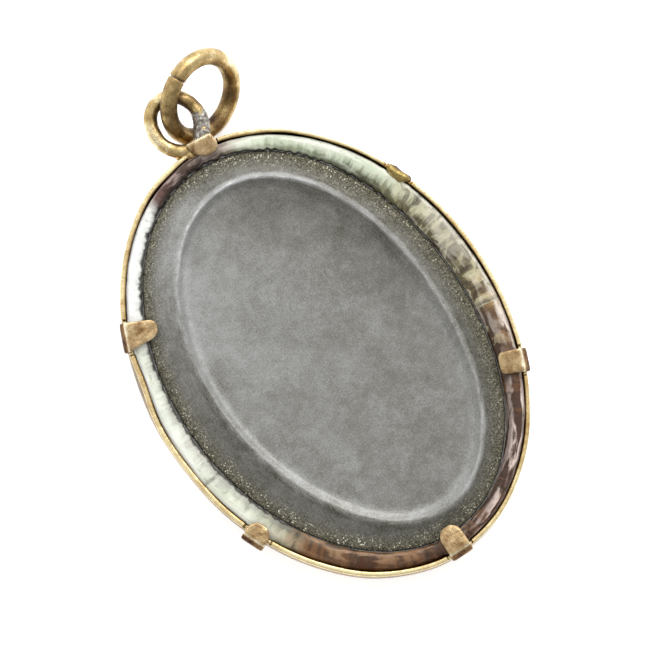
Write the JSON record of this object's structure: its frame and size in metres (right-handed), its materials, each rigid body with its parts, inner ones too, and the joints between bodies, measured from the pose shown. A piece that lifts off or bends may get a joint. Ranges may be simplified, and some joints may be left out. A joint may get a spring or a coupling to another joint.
{
  "type": "photo pendant",
  "caption": "Oval photo pendant: domed celluloid photo button in a stamped brass bezel with fold-over claws, wire loop and split jump ring.",
  "frame": {"origin": "middle of the back plate's flat floor", "axes": "+Z out of the back, +Y along the long axis towards the loop, +X to the right as the back is seen; the pendant lies on its front land at Z -4.4 mm"},
  "size_m": [0.0316, 0.0486, 0.0072],
  "materials": {
    "brass": "worn satin, brighter on the edges",
    "aged_brass": "dull, aged",
    "solder": "grey, lumpy",
    "tinplate": "dark grey, dull, slightly mottled",
    "celluloid": "clear gloss over the print",
    "print": "sepia photographic print",
    "tin": "plain tinplate"
  },
  "bodies": {
    "pendant": {"bezel_frame": "brass", "celluloid_cover": "celluloid", "photo_print": "print", "button_shell": "tin", "back_plate": "tinplate", "bail_loop": "aged_brass", "bail_solder": "solder"},
    "top_claw": {"claw_top": "brass"},
    "right_claw": {"claw_right": "brass"},
    "bottom_claw": {"claw_bottom": "brass"},
    "lower_left_claw": {"claw_lower_left": "brass"},
    "left_claw": {"claw_left": "brass"},
    "ring": {"jump_ring": "aged_brass"}
  },
  "joints": [
    {"name": "top_claw_fold", "type": "hinge", "parent": "pendant", "child": "top_claw", "pos_m": [0.00146, 0.02062, 0.00083], "axis": [-0.9923, 0.124, 0], "range_deg": [0, 90]},
    {"name": "right_claw_fold", "type": "hinge", "parent": "pendant", "child": "right_claw", "pos_m": [0.01351, -0.01038, 0.00083], "axis": [0.4001, 0.9165, 0], "range_deg": [0, 90]},
    {"name": "bottom_claw_fold", "type": "hinge", "parent": "pendant", "child": "bottom_claw", "pos_m": [-0.0003, -0.02071, 0.00083], "axis": [0.9997, -0.0254, 0], "range_deg": [0, 90]},
    {"name": "lower_left_claw_fold", "type": "hinge", "parent": "pendant", "child": "lower_left_claw", "pos_m": [-0.01383, -0.00961, 0.00083], "axis": [0.3676, -0.93, 0], "range_deg": [0, 90]},
    {"name": "left_claw_fold", "type": "hinge", "parent": "pendant", "child": "left_claw", "pos_m": [-0.01334, 0.01075, 0.00083], "axis": [-0.4163, -0.9092, 0], "range_deg": [0, 90]},
    {"name": "ring_swing", "type": "hinge", "parent": "pendant", "child": "ring", "pos_m": [0.00167, 0.02584, 0.00022], "axis": [0.882, -0.4712, 0], "range_deg": [0, 110]}
  ]
}
